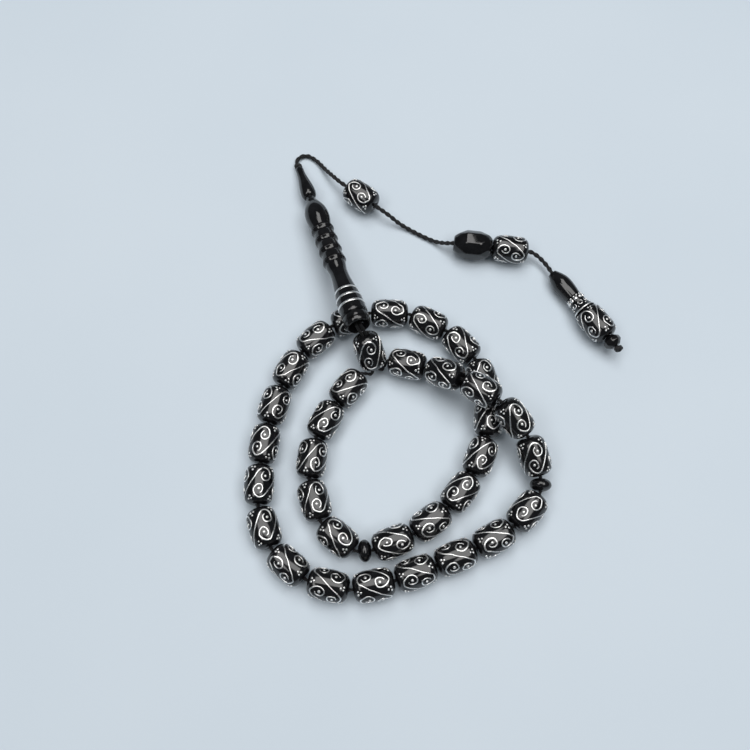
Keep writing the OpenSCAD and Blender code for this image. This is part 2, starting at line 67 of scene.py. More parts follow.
# ---------------------------------------------------------------- places from the frame, in millimetres
MM = 0.001
UP = np.array([0.0, 0.0, 1.0])
joint_of = {j["child"]: j for j in frame["joints"]}


def unit(v):
    v = np.asarray(v, float)
    return v / np.linalg.norm(v)


def centre_of(body):
    return np.array(joint_of[body]["pos_m"], float) / MM


def axis_of(body):
    return unit(joint_of[body]["axis"])


def box_mid(node):
    lo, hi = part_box(node)
    return (np.array(lo) + np.array(hi)) / 2 / MM


def along(point, direction, distance):
    return point + direction * distance


BEAD_D, BEAD_LEN, END_R, BELLY_R = 8.0, 10.7, 2.3, 27.0
DISC_D, DISC_LEN = 5.8, 3.4
STRING_D, WHIP_D, BORE_GAP = 1.0, 1.35, 0.2
IMAME_LEN, FINIAL_LEN = 50.5, 13.2
OLIVE_D, OLIVE_LEN = 5.6, 9.8
CAP_D, CAP_LEN = 6.8, 5.2
FACETED_D, FACETED_LEN = 8.8, 11.4
END_D, END_LEN = 5.2, 3.3
BEAD_BORE = STRING_D / 2 + BORE_GAP
PAIR_BORE = 1.25
WHIP_BORE = WHIP_D / 2 + BORE_GAP

BEADS = ["bead_%02d" % n for n in range(1, 34)]
ITEMS = BEADS[:5] + ["disc_1"] + BEADS[5:28] + ["disc_2"] + BEADS[28:]

HEAD_DIR = axis_of("finial")
FINIAL_AT = centre_of("finial")
BASE = FINIAL_AT - IMAME_LEN * HEAD_DIR
TIP = FINIAL_AT + FINIAL_LEN * HEAD_DIR
STRAND_MEET = centre_of("imame")
KNOT_END = centre_of("whip")
GATHER_MID, GATHER_DIR = centre_of("gather_bead"), axis_of("gather_bead")


# ---------------------------------------------------------------- materials
def new_material(name):
    m = bpy.data.materials.new(name)
    m.use_nodes = True
    nodes, links = m.node_tree.nodes, m.node_tree.links
    return m, nodes, links, nodes["Principled BSDF"]


def noise(nodes, links, scale, detail, rough=0.5):
    n = nodes.new("ShaderNodeTexNoise")
    n.inputs["Scale"].default_value = scale
    n.inputs["Detail"].default_value = detail
    n.inputs["Roughness"].default_value = rough
    links.new(nodes.new("ShaderNodeTexCoord").outputs["Object"], n.inputs["Vector"])
    return n.outputs["Fac"]


def ramp(nodes, links, value, low, high, start=0.35, end=0.65):
    """A ramp between two levels, each a number or a colour."""
    r = nodes.new("ShaderNodeValToRGB")
    for stop, place, level in zip(r.color_ramp.elements, (start, end), (low, high)):
        stop.position = place
        stop.color = (*level, 1) if hasattr(level, "__len__") else (level, level, level, 1)
    links.new(value, r.inputs["Fac"])
    return r.outputs["Color"]


def bump(nodes, links, height, strength, distance, after=None):
    b = nodes.new("ShaderNodeBump")
    b.inputs["Strength"].default_value = strength
    b.inputs["Distance"].default_value = distance
    links.new(height, b.inputs["Height"])
    if after is not None:
        links.new(after, b.inputs["Normal"])
    return b.outputs["Normal"]


def black_material(name, rough_low, rough_high, turned_along=None):
    m, nodes, links, shader = new_material(name)
    tone = noise(nodes, links, 420, 4)
    links.new(ramp(nodes, links, tone, (0.003, 0.003, 0.0035), (0.007, 0.007, 0.008)),
              shader.inputs["Base Color"])
    wear = noise(nodes, links, 1300, 6, 0.6)
    links.new(ramp(nodes, links, wear, rough_low, rough_high), shader.inputs["Roughness"])
    normal = bump(nodes, links, noise(nodes, links, 650, 3), 0.25, 0.00003)
    if turned_along is not None:
        coord = nodes.new("ShaderNodeTexCoord").outputs["Object"]
        dot = nodes.new("ShaderNodeVectorMath")
        dot.operation = "DOT_PRODUCT"
        dot.inputs[1].default_value = tuple(turned_along)
        links.new(coord, dot.inputs[0])
        lines = nodes.new("ShaderNodeTexNoise")
        lines.noise_dimensions = "1D"
        lines.inputs["Scale"].default_value = 5200
        lines.inputs["Detail"].default_value = 3
        links.new(dot.outputs["Value"], lines.inputs["W"])
        normal = bump(nodes, links, lines.outputs["Fac"], 0.35, 0.000012, normal)
    links.new(normal, shader.inputs["Normal"])
    shader.inputs["IOR"].default_value = 1.55
    return m


def silver_material():
    m, nodes, links, shader = new_material("hammered_silver")
    tone = noise(nodes, links, 900, 4)
    links.new(ramp(nodes, links, tone, (0.80, 0.795, 0.78), (0.97, 0.965, 0.955), 0.3, 0.6),
              shader.inputs["Base Color"])
    shader.inputs["Metallic"].default_value = 1
    links.new(ramp(nodes, links, noise(nodes, links, 1500, 4), 0.24, 0.40), shader.inputs["Roughness"])
    links.new(bump(nodes, links, noise(nodes, links, 2400, 2), 0.35, 0.00005), shader.inputs["Normal"])
    return m


def cord_material():
    m, nodes, links, shader = new_material("waxed_cord")
    lay = nodes.new("ShaderNodeAttribute")
    lay.attribute_name = "lay"
    fibre = nodes.new("ShaderNodeTexWave")
    fibre.wave_type = "BANDS"
    fibre.bands_direction = "X"
    fibre.inputs["Scale"].default_value = 2.4
    fibre.inputs["Distortion"].default_value = 1.6
    fibre.inputs["Detail"].default_value = 2
    links.new(lay.outputs["Vector"], fibre.inputs["Vector"])
    tone = fibre.outputs["Fac"]
    links.new(ramp(nodes, links, tone, (0.003, 0.003, 0.004), (0.013, 0.013, 0.015), 0.1, 0.9),
              shader.inputs["Base Color"])
    links.new(ramp(nodes, links, noise(nodes, links, 1800, 4), 0.42, 0.68), shader.inputs["Roughness"])
    normal = bump(nodes, links, tone, 0.7, 0.00006)
    links.new(bump(nodes, links, noise(nodes, links, 5000, 3), 0.3, 0.00004, normal), shader.inputs["Normal"])
    shader.inputs["Sheen Weight"].default_value = 0.03
    shader.inputs["Specular IOR Level"].default_value = 0.4
    return m


def floor_material():
    m, nodes, links, shader = new_material("pale_board")
    tone = noise(nodes, links, 9, 3)
    links.new(ramp(nodes, links, tone, (0.560, 0.635, 0.705), (0.600, 0.670, 0.735), 0.2, 0.8),
              shader.inputs["Base Color"])
    shader.inputs["Roughness"].default_value = 0.6
    shader.inputs["Specular IOR Level"].default_value = 0.3
    links.new(bump(nodes, links, noise(nodes, links, 2200, 3), 0.15, 0.00005), shader.inputs["Normal"])
    return m


BLACK = black_material("polished_black", 0.07, 0.15)
SMOOTH = black_material("smooth_black", 0.06, 0.13)
TURNED = black_material("turned_black", 0.07, 0.14, HEAD_DIR)
SILVER = silver_material()
CORD = cord_material()


# ---------------------------------------------------------------- mesh tools
def smooth(points, steps=8):
    p = np.asarray(points, float)
    out = []
    for i in range(len(p) - 1):
        a, b, c, d = p[max(i - 1, 0)], p[i], p[i + 1], p[min(i + 2, len(p) - 1)]
        for k in range(steps):
            t = k / steps
            out.append(0.5 * (2 * b + (c - a) * t + (2 * a - 5 * b + 4 * c - d) * t * t
                              + (3 * b - a - 3 * c + d) * t ** 3))
    out.append(p[-1])
    return np.array(out)


def units(rows):
    return rows / np.linalg.norm(rows, axis=1)[:, None]


def tangents(path):
    return units(np.gradient(path, axis=0))


def lengths(p):
    return np.concatenate([[0], np.cumsum(np.linalg.norm(np.diff(p, axis=0), axis=1))])


def resample(p, step):
    s = lengths(p)
    n = max(2, int(round(s[-1] / step)) + 1)
    at = np.linspace(0, s[-1], n)
    return np.stack([np.interp(at, s, p[:, k]) for k in range(p.shape[1])], 1)


def across(axis):
    """Two directions across an axis: the first is the one nearest to up."""
    e1 = unit(UP - axis * (UP @ axis))
    return e1, np.cross(axis, e1)


def outward(verts, faces):
    """Turns a closed part's faces so that they point out."""
    v = np.asarray(verts, float)
    v = v - v.mean(0)
    fans = np.array([(f[0], f[i], f[i + 1]) for f in faces for i in range(1, len(f) - 1)])
    total = np.einsum("ij,ij->", v[fans[:, 0]], np.cross(v[fans[:, 1]], v[fans[:, 2]]))
    return [tuple(reversed(f)) for f in faces] if total < 0 else faces


def grid_faces(rings, sides, closed):
    faces = []
    last = rings if closed else rings - 1
    for i in range(last):
        j = (i + 1) % rings
        for k in range(sides):
            n = (k + 1) % sides
            faces.append((i * sides + k, j * sides + k, j * sides + n, i * sides + n))
    return faces


def tube_faces(rings, sides):
    """A run of rings with a flat face at each end."""
    start = tuple(range(sides))
    end = tuple((rings - 1) * sides + k for k in reversed(range(sides)))
    return grid_faces(rings, sides, False) + [start, end]


def turned(profile, at, axis, sides, closed=True):
    """A lathe piece. The profile is a list of [radius, place along the axis]; an open one gets flat ends."""
    profile = np.asarray(profile, float)
    e1, e2 = across(axis)
    a = np.arange(sides) * 2 * math.pi / sides
    ring = np.cos(a)[:, None] * e1 + np.sin(a)[:, None] * e2
    verts = at + profile[:, 1][:, None, None] * axis + profile[:, 0][:, None, None] * ring[None]
    rings = len(profile)
    return verts.reshape(-1, 3), grid_faces(rings, sides, True) if closed else tube_faces(rings, sides)


def sweep(path, normals, section, scale):
    """Sweeps a closed section, [across, up] points, along a path; scale is its size at each point."""
    path = np.asarray(path, float)
    side = units(np.cross(normals, tangents(path)))
    section = np.asarray(section, float)
    verts = (path[:, None, :] + section[None, :, 0, None] * scale[:, 0, None, None] * side[:, None, :]
             + section[None, :, 1, None] * scale[:, 1, None, None] * normals[:, None, :]).reshape(-1, 3)
    return verts, tube_faces(len(path), len(section))


def place(name, mesh, material, body, slot, replaced=(), sharp=None):
    """Finishes a mesh and puts it on a body; sharp is the angle above which an edge stays crisp."""
    mesh.materials.append(material)
    mesh.shade_smooth()
    if sharp is not None:
        mesh.set_sharp_from_angle(angle=math.radians(sharp))
    ob = add_object(name, mesh)
    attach(ob, body)
    if replaced:
        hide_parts(*replaced)
    return ob


def piece(name, parts, material, body, slot, replaced=(), sharp=None, lay=None):
    """Joins closed parts, in millimetres, into one piece; lay is the thread's own place at each point."""
    verts, faces, start = [], [], 0
    for v, f in parts:
        f = outward(v, f)
        verts.append(np.asarray(v) * MM)
        faces.extend(tuple(i + start for i in face) for face in f)
        start += len(v)
    mesh = bpy.data.meshes.new(name)
    mesh.from_pydata(np.concatenate(verts).tolist(), [], faces)
    if lay is not None:
        attribute = mesh.attributes.new("lay", "FLOAT_VECTOR", "POINT")
        attribute.data.foreach_set("vector", np.asarray(lay, np.float32).ravel())
    return place(name, mesh, material, body, slot, replaced, sharp)


# ---------------------------------------------------------------- cords
def twisted(path, d, pitch, step, sides):
    """Two plies twisted round each other along a path, with the thread's own place kept for the material."""
    p = resample(np.asarray(path, float), step)
    s = lengths(p)
    tangent = tangents(p)
    side = units(np.cross(UP, tangent))
    top = np.cross(tangent, side)
    a = np.arange(sides) * 2 * math.pi / sides
    phase = a[None, :] - 2 * math.pi * s[:, None] / pitch
    r = d / 2 * (0.66 + 0.34 * np.cos(phase) ** 2)
    verts = (p[:, None] + (r * np.cos(a))[:, :, None] * side[:, None]
             + (r * np.sin(a))[:, :, None] * top[:, None])
    ply = np.abs(np.sin(phase)) * 1.3 + s[:, None] / pitch * 2.2
    lay = np.stack([ply, np.broadcast_to(s[:, None] * 0.4, ply.shape), np.zeros(ply.shape)], 2)
    return (verts.reshape(-1, 3), tube_faces(len(p), sides)), lay.reshape(-1, 3)


def rounded(path, reach=0.35, step=0.15):
    """Takes the corners off a route, keeping its ends."""
    p = resample(np.asarray(path, float), step)
    for _ in range(3 * round(reach / step)):
        p[1:-1] = (p[:-2] + 2 * p[1:-1] + p[2:]) / 4
    return p


T1_MID, T1_DIR = box_mid("tassel_bead_1"), axis_of("tassel_bead_1")
SLIDE, SLIDE_SPARE = 2.5, 0.6
FREE_ROOM = BEAD_LEN + 2 * SLIDE + SLIDE_SPARE
FREE_FROM = along(T1_MID, T1_DIR, -FREE_ROOM / 2)
FREE_TO = along(T1_MID, T1_DIR, FREE_ROOM / 2)
PAIR_DIR = axis_of("faceted_bead")
PAIR_FROM = along(centre_of("faceted_bead"), PAIR_DIR, -FACETED_LEN / 2)
PAIR_TO = along(centre_of("tassel_bead_2"), PAIR_DIR, BEAD_LEN / 2)
TAIL_DIR = axis_of("olive_bead")
TAIL_FROM = along(centre_of("olive_bead"), TAIL_DIR, -OLIVE_LEN / 2)
END_KNOT_AT = along(centre_of("end_bead"), TAIL_DIR, END_LEN / 2 + 0.02)
FLOOR_Z = WHIP_D / 2 + 0.03
BEND_1 = [(-0.3, 1.4, 0), (0.9, 3.1, 0), (3.3, 3.4, 0), (6.2, 1.4, 0.1), (8.9, -2.2, 1), (11.6, -6, 2.7)]
BEND_2 = [(2.2, -1.6, 2.9), (5.4, -3.3, 1), (8.9, -5.1, 0.1), (12.6, -7.2, 0), (16.2, -9.2, 0.5),
          (19, -10.7, 2.2)]
BEND_3 = [(1.6, -0.3, -0.5), (3.7, -1.6, -1.2), (5.7, -4, -1.5)]


def floor_bend(start, bend):
    return [np.array([start[0] + x, start[1] + y, FLOOR_Z + z]) for x, y, z in bend]


whip_path = np.concatenate([
    smooth([KNOT_END] + floor_bend(KNOT_END, BEND_1) + [FREE_FROM])[:-1],
    smooth([FREE_FROM, FREE_TO], 4)[:-1],
    smooth([FREE_TO] + floor_bend(FREE_TO, BEND_2) + [PAIR_FROM])[:-1],
    smooth([PAIR_FROM, PAIR_TO], 4)[:-1],
    smooth([PAIR_TO] + [PAIR_TO + np.array(b) for b in BEND_3] + [TAIL_FROM])[:-1],
    np.array([TAIL_FROM, END_KNOT_AT])])
whip_part, whip_lay = twisted(whip_path, WHIP_D, 3.9, 0.16, 20)
whip = piece("whip_cord_twisted", [whip_part], CORD, "whip", "cord", ["whip_cord"], lay=whip_lay)

STRAND_OFF = STRING_D / 2 + 0.05
GATHER_TOP = along(GATHER_MID, GATHER_DIR, BEAD_LEN / 2)
GATHER_FOOT = along(GATHER_MID, GATHER_DIR, -BEAD_LEN / 2)
GATHER_SIDE = unit(np.cross(GATHER_DIR, UP))
HEAD_SIDE = unit(np.cross(HEAD_DIR, UP))


def strand_foot(side):
    return [GATHER_TOP + side * STRAND_OFF * GATHER_SIDE, GATHER_FOOT + side * STRAND_OFF * GATHER_SIDE,
            GATHER_FOOT + side * (STRAND_OFF + 0.95) * GATHER_SIDE - 1.6 * GATHER_DIR]


def item_length(name):
    return DISC_LEN if name.startswith("disc") else BEAD_LEN


string_route = [STRAND_MEET + STRAND_OFF * HEAD_SIDE] + strand_foot(1)
string_route.append(along(centre_of("bead_01"), axis_of("bead_01"), -BEAD_LEN / 2 - 0.4))
for item in ITEMS:
    half = item_length(item) / 2
    string_route.append(along(centre_of(item), axis_of(item), -half))
    string_route.append(along(centre_of(item), axis_of(item), half))
string_route.append(along(centre_of("bead_33"), axis_of("bead_33"), BEAD_LEN / 2 + 0.4))
string_route += strand_foot(-1)[::-1] + [STRAND_MEET - STRAND_OFF * HEAD_SIDE]
string_path = rounded(string_route)
string_part, string_lay = twisted(string_path, STRING_D, 2.6, 0.22, 14)
string = piece("loop_string_twisted", [string_part], CORD, "loop", "cord", ["loop_string"], lay=string_lay)


# ---------------------------------------------------------------- inlaid beads
HALF = BEAD_LEN / 2
BEAD_SIDES = 88
ARC_Z = HALF - END_R
FACE_R = math.sqrt((BELLY_R - END_R) ** 2 - ARC_Z ** 2) - BELLY_R + BEAD_D / 2
LEAN = math.asin(ARC_Z / (BELLY_R - END_R))


def barrel_at(z):
    """Radius, and the outward normal's share across and along the axis, at z along a bead."""
    z = np.asarray(z, float)
    size = np.abs(z)
    belly = size <= BELLY_R * math.sin(LEAN)
    arc = np.clip((size - ARC_Z) / END_R, 0, 1)
    r = np.where(belly, BEAD_D / 2 - BELLY_R + np.sqrt(BELLY_R ** 2 - size ** 2),
                 FACE_R + END_R * np.sqrt(1 - arc ** 2))
    tilt = np.where(belly, size / BELLY_R, arc)
    return r, np.sqrt(1 - tilt ** 2), tilt * np.sign(z)


def bead_body(at, axis, bore):
    z_belly = np.linspace(0, BELLY_R * math.sin(LEAN), 12)
    half = [(barrel_at(z)[0], z) for z in z_belly]
    for a in np.linspace(LEAN, math.pi / 2, 12)[1:]:
        half.append((FACE_R + END_R * math.cos(a), ARC_Z + END_R * math.sin(a)))
    profile = [(r, -z) for r, z in reversed(half[1:])] + half
    edge = [(bore + 0.14, HALF), (bore + 0.03, HALF - 0.08), (bore, HALF - 0.25)]
    return turned([(r, -z) for r, z in reversed(edge)] + profile + edge, at, axis, BEAD_SIDES)


# One wire's half, from its middle out to the spiral's end: [share of the half length, degrees round the bead]
SCROLL = [(0, 0), (-0.27, -14), (-0.52, -27), (-0.68, -38), (-0.745, -50), (-0.72, -62), (-0.58, -73),
          (-0.37, -77.5), (-0.18, -72), (-0.09, -60), (-0.13, -48), (-0.29, -42), (-0.46, -46), (-0.53, -54)]
WIRE_WIDTH = [0.28, 0.28, 0.30, 0.33, 0.36, 0.38, 0.37, 0.35, 0.34, 0.33, 0.32, 0.30, 0.28, 0.24]
WIRE_PROUD = 0.11
WIRE_SECTION = [(0.5, 0.0), (0.46, 0.55), (0.34, 0.86), (0.17, 0.98), (0.0, 1.0), (-0.17, 0.98),
                (-0.34, 0.86), (-0.46, 0.55), (-0.5, 0.0), (-0.5, -0.6), (0.5, -0.6)]
# The dot inside each spiral, and the cluster of three at each end of a wire: [along, across] in millimetres
EYE_AT, EYE_DEG = 0.32, 58
CLUSTER_AT, CLUSTER_DEG, CLUSTER_R = 0.735, 4, 3.7
CLUSTER = [(-0.44, 0.0), (0.29, -0.45), (0.29, 0.45)]


def on_bead(a, deg, at, axis, e1, e2):
    z = np.clip(np.asarray(a, float), -0.99, 0.99) * HALF
    r, out, tilt = barrel_at(z)
    t = np.radians(deg)
    radial = np.cos(t)[..., None] * e1 + np.sin(t)[..., None] * e2
    return at + z[..., None] * axis + r[..., None] * radial, out[..., None] * radial + tilt[..., None] * axis


def dome(point, normal, d, height, sides=12):
    r = d / 2
    profile = [(r, -0.08), (r, 0.02), (0.93 * r, 0.42 * height), (0.76 * r, 0.72 * height),
               (0.5 * r, 0.92 * height), (0.2 * r, height)]
    return turned(profile, point, normal, sides, closed=False)


def bead_inlay(at, axis, roll, seed):
    rng = np.random.default_rng(seed)
    e1, e2 = across(axis)
    parts = []
    for wire in range(4):
        middle = roll + 90 * wire + rng.uniform(-2.5, 2.5)
        half = np.array(SCROLL, float)
        ends = []
        for sign in (1, -1):
            h = half.copy()
            h[1:, 0] += rng.normal(0, 0.012, len(h) - 1)
            h[1:, 1] += rng.normal(0, 0.9, len(h) - 1)
            ends.append(sign * h)
        curve = np.concatenate([ends[0][::-1], ends[1][1:]])
        width = np.array(WIRE_WIDTH[::-1] + WIRE_WIDTH[1:]) * rng.uniform(0.92, 1.1)
        width = width * (1 + rng.normal(0, 0.05, len(width)))
        fine = smooth(np.column_stack([curve, width]), 6)
        p, n = on_bead(fine[:, 0], middle + fine[:, 1], at, axis, e1, e2)
        scale = np.column_stack([fine[:, 2], np.full(len(fine), WIRE_PROUD)])
        scale[0] *= 0.5
        scale[-1] *= 0.5
        parts.append(sweep(p, n, WIRE_SECTION, scale))
        for sign in (-1, 1):
            a, t = sign * EYE_AT + rng.normal(0, 0.01), middle + sign * EYE_DEG + rng.normal(0, 1)
            p, n = on_bead(a, t, at, axis, e1, e2)
            parts.append(dome(p, n, rng.uniform(0.64, 0.80), 0.2, 14))
            for along_mm, across_mm in CLUSTER:
                reach = CLUSTER_AT * HALF + along_mm + rng.normal(0, 0.05)
                shift = math.degrees((across_mm + rng.normal(0, 0.05)) / CLUSTER_R)
                p, n = on_bead(sign * reach / HALF, middle + sign * CLUSTER_DEG + shift, at, axis, e1, e2)
                parts.append(dome(p, n, rng.uniform(0.50, 0.68), 0.18))
    return parts


# How far each bead is turned on its string, in degrees from straight up; one pattern repeats every 90
ROLL = {"bead_01": 35, "bead_02": 20, "bead_03": 25, "bead_04": 45, "bead_05": 55, "bead_06": 45,
        "bead_07": 15, "bead_08": -5, "bead_09": 5, "bead_10": 60, "bead_11": 0, "bead_12": 10,
        "bead_13": 60, "bead_14": 65, "bead_15": 40, "bead_16": 0, "bead_17": 30, "bead_18": 25,
        "bead_19": 20, "bead_20": 45, "bead_21": -10, "bead_22": -15, "bead_23": 35, "bead_24": 25,
        "bead_25": 20, "bead_26": 55, "bead_27": 5, "bead_28": 30, "bead_29": 65, "bead_30": 65,
        "bead_31": -10, "bead_32": 70, "bead_33": 20, "gather_bead": 30, "tassel_bead_1": 60,
        "tassel_bead_2": 0, "tassel_bead_3": 5}


def inlaid_bead(node, at, axis, bore, seed):
    piece(node + "_barrel", [bead_body(at, axis, bore)], BLACK, node, "black_bead", [node])
    piece(node + "_inlay", bead_inlay(at, axis, ROLL[node], seed), SILVER, node, "silver")


for number, bead in enumerate(BEADS, 1):
    inlaid_bead(bead, centre_of(bead), axis_of(bead), BEAD_BORE, 100 + number)
inlaid_bead("gather_bead", GATHER_MID, GATHER_DIR, PAIR_BORE, 201)
inlaid_bead("tassel_bead_1", T1_MID, T1_DIR, WHIP_BORE, 202)
inlaid_bead("tassel_bead_2", centre_of("tassel_bead_2"), PAIR_DIR, WHIP_BORE, 203)
inlaid_bead("tassel_bead_3", centre_of("tassel_bead_3"), TAIL_DIR, WHIP_BORE, 204)

# ---------------------------------------------------------------- separator discs
disc_face = BEAD_BORE + 0.4
disc_end = math.acos(disc_face / (DISC_D / 2))
disc_stretch = DISC_LEN / 2 / math.sin(disc_end)
disc_arc = [(DISC_D / 2 * math.cos(a), disc_stretch * math.sin(a)) for a in
            np.linspace(-disc_end, disc_end, 33)]
disc_hole = [(BEAD_BORE + 0.08, DISC_LEN / 2), (BEAD_BORE, DISC_LEN / 2 - 0.12)]
disc = [(r, -z) for r, z in reversed(disc_hole)] + disc_arc + disc_hole
for item in ("disc_1", "disc_2"):
    piece(item + "_smooth", [turned(disc, centre_of(item), axis_of(item), 72)], SMOOTH, item,
          "smooth_black", [item], sharp=40)


# ---------------------------------------------------------------- headpiece
def ease(t):
    return (1 - math.cos(math.pi * t)) / 2


def line_cut(r, z, depth=0.07, w=0.16):
    return [(r, z - w / 2), (r - depth, z - w / 6), (r - depth, z + w / 6), (r, z + w / 2)]


BAND_R, WAIST_R, COLLAR_R, NECK_R = 3.8, 2.55, 3.45, WHIP_BORE + 0.5
BAND_END, WAIST_AT = 0.125 * IMAME_LEN, 0.385 * IMAME_LEN
COLLAR_FROM, PITCH = 0.467 * IMAME_LEN, 0.083 * IMAME_LEN
TAPER_END = COLLAR_FROM - 0.9
BULB_FROM = COLLAR_FROM + 3 * PITCH + 1.3
RINGS = [0.131 * IMAME_LEN, 0.183 * IMAME_LEN, 0.236 * IMAME_LEN]
BULB_R, BULB_WIDEST = 1.05 * COLLAR_R, 0.36


def taper_r(z):
    if z < WAIST_AT:
        return BAND_R + (WAIST_R - BAND_R) * ease((z - BAND_END) / (WAIST_AT - BAND_END))
    return WAIST_R + (COLLAR_R * 0.84 - WAIST_R) * ease((z - WAIST_AT) / (TAPER_END - WAIST_AT))


headpiece = [(PAIR_BORE, 3.0), (PAIR_BORE, 1.3), (2.66, 0.06), (2.78, 0.0), (3.05, 0.0), (3.24, 0.06),
             (3.4, 0.22), (3.52, 0.5), (3.62, 0.9)]
for z in (1.2, 1.5):
    headpiece += line_cut(3.66, z, 0.14, 0.2)
headpiece += [(3.7, 1.8), (3.72, 2.3), (3.7, 2.8)]
for z in (3.15, 3.45):
    headpiece += line_cut(3.66, z, 0.14, 0.2)
headpiece += [(3.68, 3.75), (3.74, 3.9), (3.79, 4.1), (BAND_R, 4.4), (BAND_R, 5.2),
              (BAND_R, BAND_END - 0.2)]
headpiece += [(taper_r(z), z) for z in np.linspace(BAND_END, TAPER_END - 0.15, 60)]
for c in range(4):
    z = COLLAR_FROM + c * PITCH
    headpiece += [(COLLAR_R * 0.84, z - 0.9), (COLLAR_R * 0.865, z - 0.72), (COLLAR_R * 0.91, z - 0.42),
                  (COLLAR_R * 0.965, z - 0.15), (COLLAR_R * 0.995, z - 0.03), (COLLAR_R, z + 0.03)]
    headpiece += line_cut(COLLAR_R * 0.988, z + 0.3, 0.06, 0.14)
    headpiece += line_cut(COLLAR_R * 0.972, z + 0.55, 0.06, 0.14)
    if c < 3:
        headpiece += [(COLLAR_R * (0.965 - 0.085 * t), z + 0.75 + (0.65 * PITCH - 0.75) * t) for t in
                      np.linspace(0, 1, 7)]
        headpiece += [(COLLAR_R * 0.855, z + 0.65 * PITCH + 0.25)]
    else:
        headpiece += [(COLLAR_R * 0.93, z + 0.85), (COLLAR_R * 0.84, z + 1.05)]


def bulb_r(t):
    if t < BULB_WIDEST:
        return 0.8 * COLLAR_R + (BULB_R - 0.8 * COLLAR_R) * math.sin(math.pi / 2 * t / BULB_WIDEST)
    return BULB_R + (NECK_R - BULB_R) * ease(((t - BULB_WIDEST) / (1 - BULB_WIDEST)) ** 1.25)


headpiece += [(bulb_r(t), BULB_FROM + (IMAME_LEN - BULB_FROM) * t) for t in np.linspace(0, 1, 50)]
headpiece += [(NECK_R - 0.15, IMAME_LEN), (PAIR_BORE, IMAME_LEN - 0.02), (PAIR_BORE, IMAME_LEN - 2)]
piece("headpiece_turned", [turned(headpiece, BASE, HEAD_DIR, 128)], TURNED, "imame", "turned_black",
      ["imame_body"], sharp=38)

bands = []
for z in RINGS:
    r = taper_r(z)
    slope = (taper_r(z + 0.3) - taper_r(z - 0.3)) / 0.6
    outer = [(r - slope * 0.35 * math.cos(a) + 0.14 * math.sin(a) ** 0.7 - 0.02, z - 0.35 * math.cos(a))
             for a in np.linspace(0.0, math.pi, 11)]
    bands.append(turned([(r - 0.35, z - 0.35)] + outer + [(r - 0.35, z + 0.35)], BASE, HEAD_DIR, 128))
piece("silver_rings", bands, SILVER, "imame", "silver", ["imame_rings"], sharp=50)

ROUND_LEN, TIP_R, FINIAL_BODY = 2.1, 1.25, FINIAL_LEN - 0.32
finial = [(WHIP_BORE, 1.5), (WHIP_BORE, 0.1)]
finial += [((NECK_R + 0.1) + (2.3 - NECK_R - 0.1) * math.sin(a), ROUND_LEN * (1 - math.cos(a))) for a in
           np.linspace(0, math.pi / 2, 14)]
finial += [(2.3 + (TIP_R - 2.3) * ease(t), ROUND_LEN + (FINIAL_BODY - 1 - ROUND_LEN) * t) for t in
           np.linspace(0, 1, 26)[1:]]
finial += [(TIP_R, FINIAL_BODY - 0.12), (TIP_R - 0.1, FINIAL_BODY), (WHIP_BORE, FINIAL_BODY),
           (WHIP_BORE, FINIAL_BODY - 1)]
piece("finial_turned", [turned(finial, along(FINIAL_AT, HEAD_DIR, 0.16), HEAD_DIR, 96)], TURNED, "finial",
      "turned_black", ["imame_finial"], sharp=40)

# ---------------------------------------------------------------- tassel pieces
olive = [(WHIP_BORE, 1.0 - OLIVE_LEN / 2), (WHIP_BORE, 0.1 - OLIVE_LEN / 2),
         (WHIP_BORE + 0.12, -OLIVE_LEN / 2)]
start_r, end_r = WHIP_BORE + 0.45, 0.41 * OLIVE_D
olive += [(start_r - 0.05, -OLIVE_LEN / 2)]
olive += [(start_r + (OLIVE_D / 2 - start_r) * math.sin(math.pi / 2 * t), OLIVE_LEN * (t - 1) / 2) for t in
          np.linspace(0.01, 1, 30)]
olive += [(end_r + (OLIVE_D / 2 - end_r) * math.cos(math.pi / 2 * t), OLIVE_LEN * t / 2) for t in
          np.linspace(0, 0.99, 30)[1:]]
olive += [(end_r - 0.08, OLIVE_LEN / 2), (WHIP_BORE + 0.1, OLIVE_LEN / 2), (WHIP_BORE, OLIVE_LEN / 2 - 0.1),
          (WHIP_BORE, OLIVE_LEN / 2 - 1)]
piece("olive_bead_smooth", [turned(olive, centre_of("olive_bead"), TAIL_DIR, 96)], SMOOTH, "olive_bead",
      "smooth_black", ["olive_bead"], sharp=40)

CAP_AT = along(centre_of("tassel_cap"), TAIL_DIR, -CAP_LEN / 2)
neck = 0.35 * CAP_D
cap_line = smooth([(neck - 0.12, 0.05), (neck, 0.35), (neck, 0.9), (neck, 0.42 * CAP_LEN),
                   (0.38 * CAP_D, 0.62 * CAP_LEN), (0.43 * CAP_D, 0.8 * CAP_LEN),
                   (0.485 * CAP_D, CAP_LEN - 0.5)], 5)
SEAT_R = 2.86
cap = [(WHIP_BORE, 1.0), (WHIP_BORE, 0.05), (WHIP_BORE + 0.1, 0.0), (neck - 0.25, 0.0)]
cap += [tuple(p) for p in cap_line]
cap += [(0.49 * CAP_D, CAP_LEN - 0.1), (0.47 * CAP_D, CAP_LEN - 0.02), (0.455 * CAP_D, CAP_LEN - 0.05),
        (SEAT_R, CAP_LEN - 0.58), (WHIP_BORE, CAP_LEN - 0.6)]
piece("tassel_cap_body", [turned(cap, CAP_AT, TAIL_DIR, 96)], BLACK, "tassel_cap", "black_bead",
      ["tassel_cap"], sharp=40)


